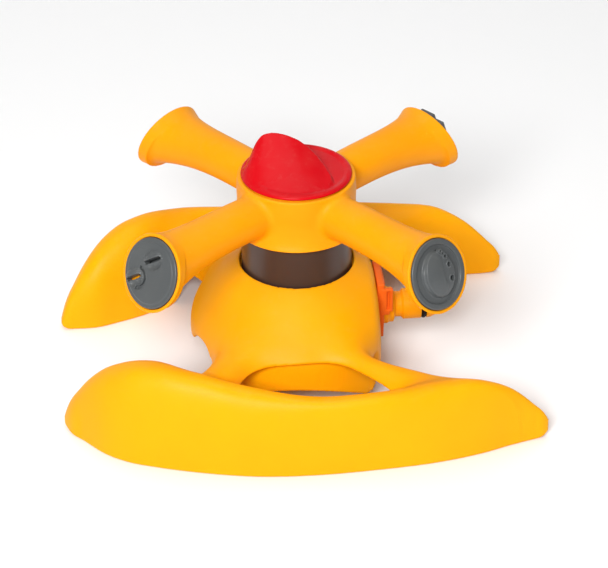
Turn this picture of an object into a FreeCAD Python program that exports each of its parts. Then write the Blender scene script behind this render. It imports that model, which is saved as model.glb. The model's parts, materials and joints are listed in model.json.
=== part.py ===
import FreeCAD, Part
import math
import os

# A rotating lawn sprinkler: a moulded base with two long skids, a four-armed rotor that spins on a
# fixed riser, four different spray heads and a selector dial on top. Millimetres, +Z up, +X towards
# the hose inlet, origin on the rotor's axis at ground level.

Vector = FreeCAD.Vector
up = Vector(0, 0, 1)

# overall sizes
base_length = 252.0
base_width = 214.0
skid_height = 52.0
blunt_overhang = 127.5      # from the rotor's axis back to the skids' blunt ends
wall = 2.6

# dome of the base
dome_radius = 57.4
dome_height = 66.5
skirt_height = 18.6         # free lower edge of the dome above the ground
inlet_flat = 42.0           # flat face that carries the inlet, from the axis
deck_thickness = 3.0
deck_drop = 6.5             # rim of the dome down to the deck, the depth of the collar's well
deck_height = dome_height - deck_drop - deck_thickness
arch_height = 37.0
arch_half_width = 60.0
arch_centre = 4.0
arch_spring = 15.0          # height of the arch's ends
scallop_radius = 17.0       # scallops in the skirt beside the blunt side's legs
scallop_azimuth = 22.0
scallop_height = 14.0

# dark collar between the dome and the rotor
collar_radius = 29.5
collar_wall = 2.5
collar_top = 88.6
collar_gap = 0.9            # dome rim to collar
skirt_gap = 1.4             # collar to the inside of the hub's skirt
skirt_wall = 3.7

# riser, the hollow spindle that the rotor spins on
riser_radius = 9.0
riser_wall = 3.5
riser_step = 3.0            # shoulder that carries the rotor
riser_shoulder = riser_radius + riser_step
elbow_depth = 13.0          # riser's foot below the deck
riser_foot = deck_height - elbow_depth
shoulder_height = collar_top - 1.0
flange_radius = riser_shoulder + 8.0
flange_thickness = 3.0
flange_screw_circle = riser_shoulder + 4.2
riser_bore = riser_radius - riser_wall
screw_shank = 1.5
groove_depth = 0.9
running_gap = 0.05          # radial, bush on riser
seat_gap = 0.2              # between pieces that are stacked
mould_gap = 0.3             # between pieces on different bodies

# inlet
inlet_height = 34.0
elbow_wall = 3.5
elbow_radius = riser_shoulder + elbow_wall
elbow_tube_bore = 8.9
elbow_tube_radius = elbow_tube_bore + 3.1
elbow_floor = inlet_height - elbow_tube_radius - 1.0
spigot_fit = 0.1            # radial, spigot tail in elbow and riser foot in elbow
spigot_reach = 33.0
spigot_tip = inlet_flat + spigot_reach
spigot_land = 8.3           # radius that a hose connector grips
spigot_bore = 4.2
o_ring_thickness = 3.0
ring_groove = 2.9            # depth of the groove that holds the spigot's ring
clip_thickness = 4.0
clip_rise = 20.5            # top and foot of the clip from the inlet's axis
clip_drop = 13.5
clip_width = 26.0
grip_stand = 4.6            # the clip's grip stands this far off its plate
grip_depth = 2.4
flange_step = 1.4           # spigot's flange over its tail, clear of the clip's grip

# rotor
rotor_turn = -6.0           # rest angle of the rotor about its axis
arm_count = 4
arm_height = 103.0
arm_reach = 102.5           # from the axis to the face of a spray head
arm_end_height = 100.6
arm_bow = 1.8               # the arm's axis rises this far above a straight line
arm_root_radius = 11.6
arm_lip = 1.4               # rim of an arm's mouth round its spray head
arm_wall = 4.0
arm_tilt = 22.0             # a spray head faces this far above level
hub_radius = 31.4
hub_skirt_radius = collar_radius + skirt_gap + skirt_wall
hub_skirt_bottom = collar_top + 1.6
hub_floor = collar_top + 1.2
hub_rise = 15.0             # from the arms' axis up to the top of the hub
hub_top = arm_height + hub_rise
hub_wall = 3.0
floor_thickness = 2.4
bush_wall = 2.0
bush_radius = riser_radius + bush_wall
boss_radius = bush_radius + 3.0
bush_length = 8.4
rib_thickness = 2.4

# spray heads
disc_radius = 18.2
disc_thickness = 3.2
disc_gap = 0.25             # round a disc in its seat
disc_seat = 4.2             # step behind a disc, from the throat out to the disc's rim
plug_radius = disc_radius - disc_seat
plug_length = 6.0
plug_wall = 1.8
seal_thickness = 2.0
arm_end_radius = disc_radius + disc_gap + arm_lip
arm_bore_root = arm_root_radius - arm_wall

# selector
seat_thickness = 2.4
selector_thickness = 2.2
cap_thickness = 2.4
cap_wall = 3.3
fit_gap = 0.1               # round a piece that is pressed or set in
valve_room = 0.6            # round the selector disc under its cap
seat_height = hub_top - cap_thickness - selector_thickness - seat_thickness - 1.4
selector_radius = hub_radius - hub_wall - fit_gap - cap_wall - valve_room
port_circle = selector_radius - 5.0
port_radius = 4.2
spindle_radius = 4.0
dial_margin = 2.0           # the dial's rim in from the hub's side
dial_radius = hub_radius - dial_margin
dial_thickness = 3.4
grip_height = 18.7
dial_top = hub_top + mould_gap + grip_height
grip_turn = -6.0            # the way the grip's ridge runs at rest
dial_screw_shank = 1.15
dial_screw_head = 2.3
dial_screw_sink = 1.8       # depth of the counterbore under the selector disc


def spline(points, closed=False):
    curve = Part.BSplineCurve()
    curve.interpolate(Points=[Vector(*p) for p in points], PeriodicFlag=closed)
    return curve.toShape()


def cylinder(radius, low, high, x=0.0, y=0.0):
    return Part.makeCylinder(radius, high - low, Vector(x, y, low), up)


def ring(outer, inner, low, high):
    return cylinder(outer, low, high).cut(cylinder(inner, low - 1, high + 1))


def box(low, high):
    size = [b - a for a, b in zip(low, high)]
    return Part.makeBox(*size, Vector(*low))


def revolved(outline):
    """Solid of revolution about the vertical axis from (radius, height) corners."""
    corners = [Vector(r, 0, z) for r, z in outline]
    face = Part.Face(Part.makePolygon(corners + corners[:1]))
    return face.revolve(Vector(0, 0, 0), up, 360)


def along_inlet(shape):
    """Lay a shape built up the vertical axis along the inlet's axis."""
    laid = shape.copy()
    laid.rotate(Vector(0, 0, 0), Vector(0, 1, 0), 90)
    laid.translate(Vector(0, 0, inlet_height))
    return laid


def mirrored(shape):
    return shape.mirror(Vector(0, 0, 0), Vector(0, 1, 0))


def hull_section(place, low, high, peak, height, foot, fullness=2.4):
    """Closed wire with a flat foot and a rounded top; place(across, z) gives a point."""
    points = []
    steps = 12
    for step in range(steps + 1):
        angle = math.pi * step / steps
        rise = max(math.sin(angle), 0.0) ** (2 / fullness)
        reach = abs(math.cos(angle)) ** (2 / fullness)
        side = high - peak if angle < math.pi / 2 else low - peak
        points.append(place(peak + side * reach, foot + (height - foot) * rise))
    top = spline(points)
    bottom = Part.makeLine(Vector(*points[-1]), Vector(*points[0]))
    return Part.Wire([top, bottom])


# share of the length, then outer foot, inner foot and crest as shares of the half width,
# then heights of the crest and of the foot as shares of the skid's height
skid_stations = [
    (0.000, 0.477, 0.420, 0.449, 0.10, 0.04),
    (0.008, 0.520, 0.411, 0.458, 0.22, 0.02),
    (0.036, 0.600, 0.408, 0.505, 0.48, 0.00),
    (0.079, 0.722, 0.411, 0.575, 0.75, 0.00),
    (0.127, 0.805, 0.449, 0.640, 0.92, 0.00),
    (0.183, 0.860, 0.505, 0.690, 1.00, 0.00),
    (0.270, 0.925, 0.640, 0.776, 0.97, 0.00),
    (0.389, 0.985, 0.750, 0.855, 0.87, 0.00),
    (0.508, 1.000, 0.765, 0.925, 0.80, 0.00),
    (0.635, 0.985, 0.765, 0.915, 0.80, 0.00),
    (0.770, 0.947, 0.755, 0.850, 0.81, 0.00),
    (0.865, 0.890, 0.750, 0.820, 0.755, 0.00),
    (0.925, 0.836, 0.745, 0.794, 0.60, 0.00),
    (0.968, 0.806, 0.748, 0.780, 0.40, 0.03),
    (0.992, 0.790, 0.755, 0.773, 0.27, 0.08),
    (1.000, 0.778, 0.765, 0.771, 0.20, 0.12),
]


def skid(inset):
    """One skid on the +Y side; inset shrinks it to the hollow under its skin."""
    half_width = base_width / 2
    sections = []
    for share, outer, inner, crest, height, foot in skid_stations:
        width = (outer - inner) * half_width
        tall = height * skid_height
        if inset and (width < 4 * inset or tall < 2.5 * inset):
            continue
        x = share * base_length - blunt_overhang
        sections.append(
            hull_section(
                lambda across, z, x=x: (x, across, z),
                inner * half_width + inset,
                outer * half_width - inset,
                crest * half_width,
                tall - inset,
                foot * skid_height if foot and not inset else -1.0,
            )
        )
    return Part.makeLoft(sections, True, False)


def skid_crest(x):
    """Half-width share and height of the crest where the skid passes x."""
    share = (x + blunt_overhang) / base_length
    for before, after in zip(skid_stations, skid_stations[1:]):
        if before[0] <= share <= after[0]:
            blend = (share - before[0]) / (after[0] - before[0])
            across = before[3] + (after[3] - before[3]) * blend
            height = before[4] + (after[4] - before[4]) * blend
            return across * base_width / 2, height * skid_height
    raise ValueError("no skid at this place")


# each leg: share of the way from the dome's axis to the skid's crest, low x and high x as shares of
# the dome's radius, and height of the top as a share of the dome's height
blunt_leg = [
    (0.30, -0.80, 0.00, 0.76),
    (0.50, -0.86, -0.05, 0.67),
    (0.62, -0.94, -0.25, 0.62),
    (0.74, -1.04, -0.42, 0.61),
    (0.84, -1.13, -0.55, 0.61),
    (0.91, -1.20, -0.63, 0.605),
]
inlet_leg = [
    (0.30, 0.00, 0.55, 0.76),
    (0.52, 0.08, 0.64, 0.68),
    (0.64, 0.21, 0.72, 0.635),
    (0.76, 0.39, 0.96, 0.61),
    (0.88, 0.60, 1.38, 0.595),
    (0.97, 0.72, 1.64, 0.57),
]


def leg(stations, inset):
    """One leg on the +Y side, from inside the dome to the skid's crest."""
    middle = (stations[-1][1] + stations[-1][2]) / 2 * dome_radius
    reach, _ = skid_crest(middle)
    foot = skirt_height - (2.0 if inset else 0.0)
    sections = []
    for share, low, high, height in stations:
        y = share * reach
        low_x = low * dome_radius + inset
        high_x = high * dome_radius - inset
        sections.append(
            hull_section(
                lambda across, z, y=y: (across, y, z),
                low_x,
                high_x,
                (low_x + high_x) / 2,
                height * dome_height - inset,
                foot,
            )
        )
    return Part.makeLoft(sections, True, False)


def dome(inset):
    """The bell over the waterway, cut flat on the inlet's side."""
    rim = collar_radius + collar_gap + (0.0 if not inset else -collar_gap)
    foot = skirt_height - (2.0 if inset else 0.0)
    r = dome_radius - inset
    top = deck_height if inset else dome_height
    shoulder = 0.45 * (dome_height - skirt_height) + skirt_height
    outline = [
        (rim + (2.0 if not inset else 12.0), 0, top),
        (rim + 0.72 * (r - rim), 0, min(top - 2.0, shoulder + 0.42 * (dome_height - shoulder))),
        (r - 0.8, 0, shoulder - 4.0),
        (r, 0, foot),
    ]
    side = spline(outline)
    lid = Part.makeLine(Vector(0, 0, top), Vector(*outline[0]))
    base = Part.makeLine(Vector(*outline[-1]), Vector(0, 0, foot))
    axis = Part.makeLine(Vector(0, 0, foot), Vector(0, 0, top))
    bell = Part.Face(Part.Wire([lid, side, base, axis])).revolve(Vector(0, 0, 0), up, 360)
    keep = box((-2 * r, -2 * r, 0), (inlet_flat - inset, 2 * r, 2 * dome_height))
    return bell.common(keep)


def base_shell():
    outer = dome(0.0)
    inner = dome(wall)
    for stations in (blunt_leg, inlet_leg):
        outer = outer.fuse([leg(stations, 0.0), mirrored(leg(stations, 0.0))])
        inner = inner.fuse([leg(stations, wall), mirrored(leg(stations, wall))])
    outer = outer.cut(arch_cut())
    outer = outer.fuse([skid(0.0), mirrored(skid(0.0))])
    outer = outer.cut(box((-base_length, -base_width, -5), (base_length, base_width, 0)))
    inner = inner.fuse([skid(wall), mirrored(skid(wall))])
    shell = outer.cut(inner)
    shell = shell.cut(cylinder(riser_shoulder + seat_gap, deck_height - 5, dome_height))
    well = cylinder(collar_radius + collar_gap, deck_height + deck_thickness, dome_height + 1)
    shell = shell.cut(well)
    shell = shell.cut(along_inlet(cylinder(elbow_tube_bore + seat_gap, 0, 2 * inlet_flat)))
    for hole in screw_places():
        shell = shell.cut(cylinder(screw_shank + 0.2, deck_height - 1, deck_height + 9, *hole))
    for sign in (-1, 1):
        shell = shell.cut(scallop(sign))
    return shell


def arch_cut():
    """The opening under each arch, outside the dome's own wall."""
    tall = arch_height - arch_spring
    arch = Part.makeCylinder(1, 2 * base_width, Vector(0, -base_width, 0), Vector(0, 1, 0))
    stretch = FreeCAD.Matrix()
    stretch.scale(arch_half_width, 1, tall)
    arch = arch.transformGeometry(stretch)
    arch.translate(Vector(arch_centre, 0, arch_spring))
    start = arch_centre - arch_half_width
    end = arch_centre + arch_half_width
    low = box((start, -base_width, -1), (end, base_width, arch_spring))
    return arch.fuse(low).cut(cylinder(dome_radius, -2, dome_height))


def scallop(sign):
    """A round bite out of the skirt between the blunt side and its leg."""
    angle = math.radians(180 - sign * scallop_azimuth)
    way = Vector(math.cos(angle), math.sin(angle), 0)
    start = way * (dome_radius - 14) + Vector(0, 0, scallop_height)
    return Part.makeCylinder(scallop_radius, 20, start, way)


def screw_places():
    for turn in (45, 135, 225, 315):
        angle = math.radians(turn)
        yield flange_screw_circle * math.cos(angle), flange_screw_circle * math.sin(angle)


def riser_screws():
    """Four pan-headed screws up through the deck into the riser's flange."""
    head = 2.8
    screws = []
    for x, y in screw_places():
        low = deck_height
        body = cylinder(head, low - 2.0, low, x, y)
        body = body.fuse(cylinder(screw_shank, low - 0.5, low + deck_thickness + 2.2, x, y))
        body = body.cut(box((x - 2, y - 0.4, low - 2.5), (x + 2, y + 0.4, low - 1.2)))
        screws.append(body)
    return Part.makeCompound(screws)


def riser():
    flange_low = deck_height + deck_thickness
    body = revolved([
        (riser_bore, riser_foot),
        (riser_shoulder - spigot_fit, riser_foot),
        (riser_shoulder - spigot_fit, flange_low),
        (flange_radius, flange_low),
        (flange_radius, flange_low + flange_thickness),
        (riser_shoulder, flange_low + flange_thickness + 3),
        (riser_shoulder, shoulder_height),
        (riser_radius, shoulder_height),
        (riser_radius, clip_low()),
        (riser_radius - groove_depth, clip_low()),
        (riser_radius - groove_depth, clip_low() + 1.4),
        (riser_radius, clip_low() + 1.4),
        (riser_radius, riser_top()),
        (riser_bore, riser_top()),
    ])
    for x, y in screw_places():
        body = body.cut(cylinder(screw_shank, flange_low - 1, flange_low + 2.3, x, y))
    groove = ring(riser_shoulder + 1, riser_shoulder - 1.6, riser_foot + 3, riser_foot + 5.4)
    return body.cut(groove)


def riser_o_ring():
    return torus(riser_shoulder - 0.8, 0.75, riser_foot + 4.2)


def torus(radius, thickness, height):
    return Part.makeTorus(radius, thickness, Vector(0, 0, height), up)


def riser_top():
    return clip_low() + 4.0


def bush_low():
    return shoulder_height + seat_gap + 1.4 + mould_gap


def clip_low():
    return bush_low() + bush_length + 0.4 + seal_thickness + 0.3


def thrust_washer():
    low = shoulder_height + seat_gap
    return ring(bush_radius + 0.8, riser_radius + 0.2, low, low + 1.4)


def rotor_bush():
    return ring(bush_radius, riser_radius + running_gap, bush_low(), bush_low() + bush_length)


def rotor_seal():
    low = bush_low() + bush_length + 0.3
    return ring(bush_radius, riser_radius + running_gap, low, low + seal_thickness)


def retaining_clip():
    low = clip_low() + 0.1
    washer = ring(riser_radius + 1.7, riser_radius - groove_depth + 0.1, low, low + 1.2)
    return washer.cut(box((-30, -2.5, low - 1), (0, 2.5, low + 3)))


def base_collar():
    low = deck_height + deck_thickness
    outer = collar_radius
    inner = collar_radius - collar_wall
    tube = ring(outer, inner, low, collar_top)
    foot = ring(outer, flange_radius + seat_gap, low, low + 3)
    return tube.fuse(foot).removeSplitter()


def inlet_elbow():
    top = deck_height - 5.0
    body = cylinder(elbow_radius, elbow_floor, top)
    tube = along_inlet(cylinder(elbow_tube_radius, 0, inlet_flat - wall - 0.4))
    body = body.fuse(tube)
    body = body.cut(cylinder(riser_shoulder, riser_foot - seat_gap, top + 1))
    body = body.cut(cylinder(riser_shoulder - 3, elbow_floor + 3, top))
    return body.cut(along_inlet(cylinder(elbow_tube_bore, 0, inlet_flat + 5)))


def inlet_spigot():
    """Turned about the inlet's axis: tail in the elbow, clip groove, flange, neck, land and nose."""
    clip_start = inlet_flat
    clip_end = inlet_flat + clip_thickness + 0.2
    tail = elbow_tube_bore - spigot_fit
    neck = spigot_land - 1.4
    ring_low = spigot_tip - 8.0
    ring_high = ring_low + o_ring_thickness
    outline = [
        (spigot_bore, riser_shoulder + 3),
        (tail, riser_shoulder + 3),
        (tail, riser_shoulder + 8),
        (tail - 1.7, riser_shoulder + 8),
        (tail - 1.7, riser_shoulder + 10.6),
        (tail, riser_shoulder + 10.6),
        (tail, clip_start),
        (tail - 1.5, clip_start),
        (tail - 1.5, clip_end),
        (tail + flange_step, clip_end),
        (tail + flange_step, clip_end + 2.4),
        (tail + 0.7, clip_end + 3.4),
        (tail + 0.7, clip_end + 5.6),
        (neck, clip_end + 6.8),
        (neck, clip_end + 10.0),
        (spigot_land, clip_end + 11.2),
        (spigot_land, ring_low),
        (spigot_land - ring_groove, ring_low),
        (spigot_land - ring_groove, ring_high),
        (spigot_land - 0.2, ring_high),
        (spigot_land - 0.4, spigot_tip - 2.5),
        (spigot_land - 1.6, spigot_tip),
        (spigot_bore, spigot_tip),
    ]
    return along_inlet(revolved(outline))


def spigot_o_ring():
    thickness = o_ring_thickness / 2 - 0.1
    radius = spigot_land - 0.05 - thickness
    return along_inlet(torus(radius, thickness, spigot_tip - 8.0 + o_ring_thickness / 2))


def elbow_o_ring():
    return along_inlet(torus(elbow_tube_bore - 0.92, 0.86, riser_shoulder + 9.3))


def inlet_filter():
    """A perforated disc in the mouth of the spigot."""
    low = spigot_tip - 9.0
    disc = ring(spigot_bore - 0.05, 0.7, low, low + 1.2)
    for count, circle in ((5, 1.9), (9, 3.2)):
        for step in range(count):
            angle = 2 * math.pi * step / count
            x = circle * math.cos(angle)
            y = circle * math.sin(angle)
            disc = disc.cut(cylinder(0.5, low - 1, low + 3, x, y))
    return along_inlet(disc)


def inlet_clip():
    """A forked plate dropped over the spigot's groove, with a grip that has a slot."""
    low = inlet_flat + 0.1
    high = inlet_flat + clip_thickness
    half = clip_width / 2
    gap = elbow_tube_bore - spigot_fit - 1.5 + 0.1
    bottom = inlet_height - clip_drop
    top = inlet_height + clip_rise
    plate = box((low, -half, bottom), (high, half, top))
    plate = plate.cut(box((low - 1, -gap, bottom - 1), (high + 1, gap, inlet_height)))
    plate = plate.cut(along_inlet(cylinder(gap, low - 1, high + 1)))
    grip = box((low, -half, inlet_height + 4.5), (high + grip_stand, -half + grip_depth, top - 1.5))
    slot = box((high + 1.2, -half - 1, inlet_height + 7), (high + 2.9, -half + grip_depth + 1, top - 4))
    return plate.fuse(grip).cut(slot).removeSplitter()


def arm_azimuths():
    for index in range(arm_count):
        yield 45.0 + 360.0 * index / arm_count + rotor_turn


def turned(shape, degrees):
    copy = shape.copy()
    copy.rotate(Vector(0, 0, 0), up, degrees)
    return copy


def arm_circle(distance, height, radius, tilt):
    """A circle across the arm's axis, tilted up by tilt degrees."""
    lean = math.radians(tilt)
    normal = Vector(math.cos(lean), 0, math.sin(lean))
    circle = Part.makeCircle(radius, Vector(distance, 0, height), normal)
    return Part.Wire([circle])


def arm_station(share):
    """Place, radius and tilt of the arm's section: a straight tube that opens like a trumpet."""
    root = hub_radius - 12
    distance = root + (arm_reach - root) * share
    height = arm_height + (arm_end_height - arm_height) * share + 4 * arm_bow * share * (1 - share)
    radius = arm_root_radius + (arm_end_radius - arm_root_radius) * share ** 5
    return distance, height, radius, arm_tilt * share ** 4


def arm_outside():
    steps = 8
    sections = [arm_circle(*arm_station(step / steps)) for step in range(steps + 1)]
    return Part.makeLoft(sections, True, False)


def arm_inside():
    seat = disc_radius + disc_gap
    throat = plug_radius + seal_thickness
    lean = math.radians(arm_tilt)
    back = disc_thickness + plug_length + 1.0
    distance = arm_reach - back * math.cos(lean)
    height = arm_end_height - back * math.sin(lean)
    sections = [arm_circle(boss_radius + 3, arm_height, arm_bore_root, 0)]
    for share in (0.3, 0.6):
        middle, level, _, _ = arm_station(share)
        sections.append(arm_circle(middle, level, arm_bore_root + 2.0 * share, 0))
    sections.append(arm_circle(distance, height, throat - 3.4, arm_tilt))
    bore = Part.makeLoft(sections, True, True)
    mouth = in_head_frame(cylinder(throat, -back, 1.0).fuse(cylinder(seat, -disc_thickness, 1.0)))
    return bore.fuse(mouth)


def in_head_frame(shape):
    """Carry a shape from a spray head's own frame (+Z outwards, +Y up) to the arm along +X."""
    lean = math.radians(arm_tilt)
    out = Vector(math.cos(lean), 0, math.sin(lean))
    side = Vector(0, 1, 0)
    high = out.cross(side)
    matrix = FreeCAD.Matrix(
        side.x, high.x, out.x, arm_reach,
        side.y, high.y, out.y, 0,
        side.z, high.z, out.z, arm_end_height,
        0, 0, 0, 1,
    )
    moved = shape.copy()
    moved.transformShape(matrix, True)
    return moved


def hub_outside():
    return revolved_spline(
        [
            (hub_skirt_radius, hub_skirt_bottom),
            (hub_radius + 1.6, hub_skirt_bottom + 4.5),
            (hub_radius, hub_skirt_bottom + 12),
            (hub_radius + 0.2, hub_top - 5),
            (hub_radius - 0.4, hub_top),
        ]
    )


def revolved_spline(outline):
    """Solid of revolution whose side is a smooth curve through (radius, height) points."""
    side = spline([(r, 0, z) for r, z in outline])
    low = outline[0][1]
    high = outline[-1][1]
    lid = Part.makeLine(Vector(outline[-1][0], 0, high), Vector(0, 0, high))
    axis = Part.makeLine(Vector(0, 0, high), Vector(0, 0, low))
    base = Part.makeLine(Vector(0, 0, low), Vector(outline[0][0], 0, low))
    return Part.Face(Part.Wire([side, lid, axis, base])).revolve(Vector(0, 0, 0), up, 360)


def rotor_body():
    azimuths = list(arm_azimuths())
    body = hub_outside()
    body = body.fuse([turned(arm_outside(), a) for a in azimuths])
    skirt_inside = collar_radius + skirt_gap
    body = body.cut(cylinder(skirt_inside, hub_skirt_bottom - 30, hub_floor))
    chamber = hub_radius - hub_wall
    body = body.cut(cylinder(chamber, seat_height, hub_top + 1))
    lower = ring(chamber - 2.0, boss_radius, hub_floor + floor_thickness, seat_height + 0.1)
    for azimuth in azimuths:
        half = rib_thickness / 2
        rib = box((boss_radius - 1, -half, hub_floor), (chamber, half, seat_height))
        lower = lower.cut(turned(rib, azimuth + 180.0 / arm_count))
    body = body.cut(lower)
    body = body.cut([turned(arm_inside(), a) for a in azimuths])
    body = body.cut(cylinder(bush_radius, hub_floor - 5, seat_height + 1))
    return body


def valve_seat():
    """Fixed plate with one port over each arm and a centre port from the riser."""
    outer = hub_radius - hub_wall - fit_gap
    low = seat_height + 0.05
    plate = ring(outer, 7.0, low, low + seat_thickness)
    for azimuth in arm_azimuths():
        plate = plate.cut(port(azimuth, low))
    return plate


def port(azimuth, low):
    angle = math.radians(azimuth)
    x, y = port_circle * math.cos(angle), port_circle * math.sin(angle)
    return cylinder(port_radius, low - 1, low + 6, x, y)


def port_seals():
    """Four rings set in the seat's ports, flush with its face."""
    low = seat_height + 0.05
    rings = []
    for azimuth in arm_azimuths():
        angle = math.radians(azimuth)
        seal = ring(port_radius - 0.05, port_radius - 1.2, low + 0.2, low + seat_thickness)
        seal.translate(Vector(port_circle * math.cos(angle), port_circle * math.sin(angle), 0))
        rings.append(seal)
    return Part.makeCompound(rings)


def selector_low():
    return seat_height + 0.05 + seat_thickness + mould_gap


def cap_low():
    return hub_top - cap_thickness


def selector_disc():
    """Rotary valve under the cap: a disc with an open pair of windows and the dial's spindle."""
    low = selector_low()
    disc = cylinder(selector_radius, low, low + selector_thickness)
    for azimuth in (rotor_turn + 45.0, rotor_turn + 225.0):
        disc = disc.cut(port(azimuth, low))
    for azimuth in (rotor_turn, rotor_turn + 120.0, rotor_turn + 240.0):
        angle = math.radians(azimuth)
        disc = disc.cut(cylinder(1.6, low - 1, low + 5, 8.6 * math.cos(angle), 8.6 * math.sin(angle)))
    spindle = cylinder(spindle_radius, low, hub_top + mould_gap + 1.6)
    valve = disc.fuse(spindle).cut(cylinder(dial_screw_shank + 0.05, low - 1, hub_top + 3))
    return valve.cut(cylinder(dial_screw_head + 0.2, low - 1, low + dial_screw_sink))


def hub_cap():
    """Threaded cover over the valve; the dial's spindle comes up through its middle."""
    outer = hub_radius - hub_wall - fit_gap
    low = cap_low()
    skirt_low = selector_low() + 0.2
    cap = ring(outer, spindle_radius + 0.08, low, hub_top)
    skirt = ring(outer, selector_radius + valve_room, skirt_low, hub_top - 1)
    groove = ring(spindle_radius + 1.9, spindle_radius - 1, low + 0.5, hub_top - 0.5)
    return cap.fuse(skirt).cut(groove)


def spindle_seal():
    return ring(spindle_radius + 1.85, spindle_radius + 0.06, cap_low() + 0.55, hub_top - 0.55)


def selector_dial():
    """Round skirted knob with a swept grip standing on it, off one side of the middle."""
    low = hub_top + mould_gap
    rim = low + dial_thickness
    disc = revolved_spline([
        (dial_radius, low),
        (dial_radius, low + 1.6),
        (dial_radius - 1.2, rim - 0.4),
        (dial_radius - 4.0, rim + 0.2),
    ])
    grip = dial_grip(low)
    knob = disc.fuse(grip)
    knob = knob.cut(cylinder(spindle_radius + 0.05, low - 1, low + 1.7))
    return knob.cut(cylinder(dial_screw_shank + 0.05, low - 1, low + 7.0))


def dial_grip(low):
    """A shell-shaped grip: a broad face that climbs from the front rim to a ridge, steep behind."""
    span = dial_radius - 0.8
    tall = dial_top - low
    shares = [
        (-0.93, 0.10, 0.30, 0.28),
        (-0.84, 0.16, 0.44, 0.58),
        (-0.68, 0.22, 0.52, 0.86),
        (-0.46, 0.27, 0.56, 1.00),
        (-0.18, 0.26, 0.54, 0.95),
        (0.10, 0.22, 0.46, 0.76),
        (0.34, 0.14, 0.34, 0.52),
        (0.52, 0.00, 0.18, 0.32),
        (0.62, -0.20, 0.00, 0.22),
    ]
    sections = []
    for along, ridge, back, height in shares:
        front = -math.sqrt(1 - along ** 2) * 0.97
        sections.append(
            hull_section(
                lambda across, z, x=along * span: (x, across, z),
                front * span,
                back * span,
                ridge * span,
                low + height * tall,
                low + 0.4,
                1.6,
            )
        )
    return turned(Part.makeLoft(sections, True, False), grip_turn)


def dial_screw():
    """Screw up through the spindle from under the selector disc, blind in the dial."""
    low = selector_low()
    head = cylinder(dial_screw_head, low + 0.2, low + dial_screw_sink)
    shank = cylinder(dial_screw_shank, low + 0.5, hub_top + mould_gap + 6.5)
    slot = box((-3, -0.35, low - 1), (3, 0.35, low + 0.8))
    return head.fuse(shank).cut(slot)


def head_blank():
    """Disc and hollow plug that every spray head shares, in the head's own frame."""
    disc = cylinder(disc_radius, -disc_thickness, 0)
    edge = [e for e in disc.Edges if abs(e.CenterOfMass.z) < 1e-6 and e.Length > 10]
    disc = disc.makeChamfer(0.7, edge)
    bottom = -disc_thickness - plug_length
    plug = ring(plug_radius, plug_radius - plug_wall, bottom, -disc_thickness + 0.1)
    groove = ring(plug_radius + 1, plug_radius - 0.9, bottom + 2.0, bottom + 4.2)
    return disc.fuse(plug).cut(groove)


def hooded_slot(x, y, turn):
    """An eye-shaped hood with a slot through it."""
    hood = Part.makeSphere(4.2, Vector(0, 0, -1.4))
    hood = hood.common(box((-6, -6, -1.5), (6, 6, 6)))
    cut = box((-3.6, -0.6, -6), (3.6, 0.6, 6))
    for piece in (hood, cut):
        piece.rotate(Vector(0, 0, 0), up, turn)
        piece.translate(Vector(x, y, 0))
    return hood, cut


def twin_slot_head():
    head = head_blank()
    for x, y in ((1.0, 6.3), (-8.4, -2.4)):
        hood, cut = hooded_slot(x, y, 16)
        head = head.fuse(hood).cut(cut)
    return head


def shower_head():
    """Raised dome inside a grooved rim, with an arc of holes that grow downwards."""
    head = head_blank()
    head = head.cut(ring(disc_radius - 2.2, disc_radius - 3.4, -0.8, 1))
    cap_radius = 26.0
    dome_reach = 11.5
    sink = math.sqrt(cap_radius ** 2 - dome_reach ** 2)
    bump = Part.makeSphere(cap_radius, Vector(0, 0, -sink - 0.3))
    head = head.fuse(bump.common(cylinder(dome_reach, -1, 6)))
    holes = [(0.55, 5.2, 12.5), (0.6, 6.5, 10.6), (0.85, 7.8, 8.6), (1.15, 9.0, 3.7), (1.35, 8.6, -3.9)]
    for radius, x, y in holes:
        head = head.cut(cylinder(radius, -6, 6, x, y))
    return head


def block_head(count, step):
    """A stepped block that stands out of the disc, with slots through its crown."""
    head = head_blank()
    block = box((-6.5, -4.2, -1), (6.5, 4.2, 3.2))
    crown = box((-4.6, -2.8, 3), (4.6, 2.8, 5.2))
    head = head.fuse([block, crown])
    for index in range(count):
        y = (index - (count - 1) / 2) * step
        head = head.cut(box((-3.6, y - 0.45, -6), (3.6, y + 0.45, 7)))
    return head


def jet_head():
    """A round two-step boss with a ring of jets."""
    head = head_blank()
    head = head.fuse([cylinder(7.2, -1, 3.0), cylinder(4.6, 2.8, 5.4)])
    for index in range(6):
        angle = 2 * math.pi * index / 6
        head = head.cut(cylinder(0.6, -6, 7, 2.6 * math.cos(angle), 2.6 * math.sin(angle)))
    return head


def on_arm(shape, azimuth):
    return turned(in_head_frame(shape), azimuth)


def head_seals():
    """One ring round each spray head's plug."""
    bottom = -disc_thickness - plug_length
    inner = plug_radius - 0.85
    outer = plug_radius + seal_thickness - 0.1
    seal = ring(outer, inner, bottom + 2.05, bottom + 4.15)
    return Part.makeCompound([on_arm(seal, azimuth) for azimuth in arm_azimuths()])


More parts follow.
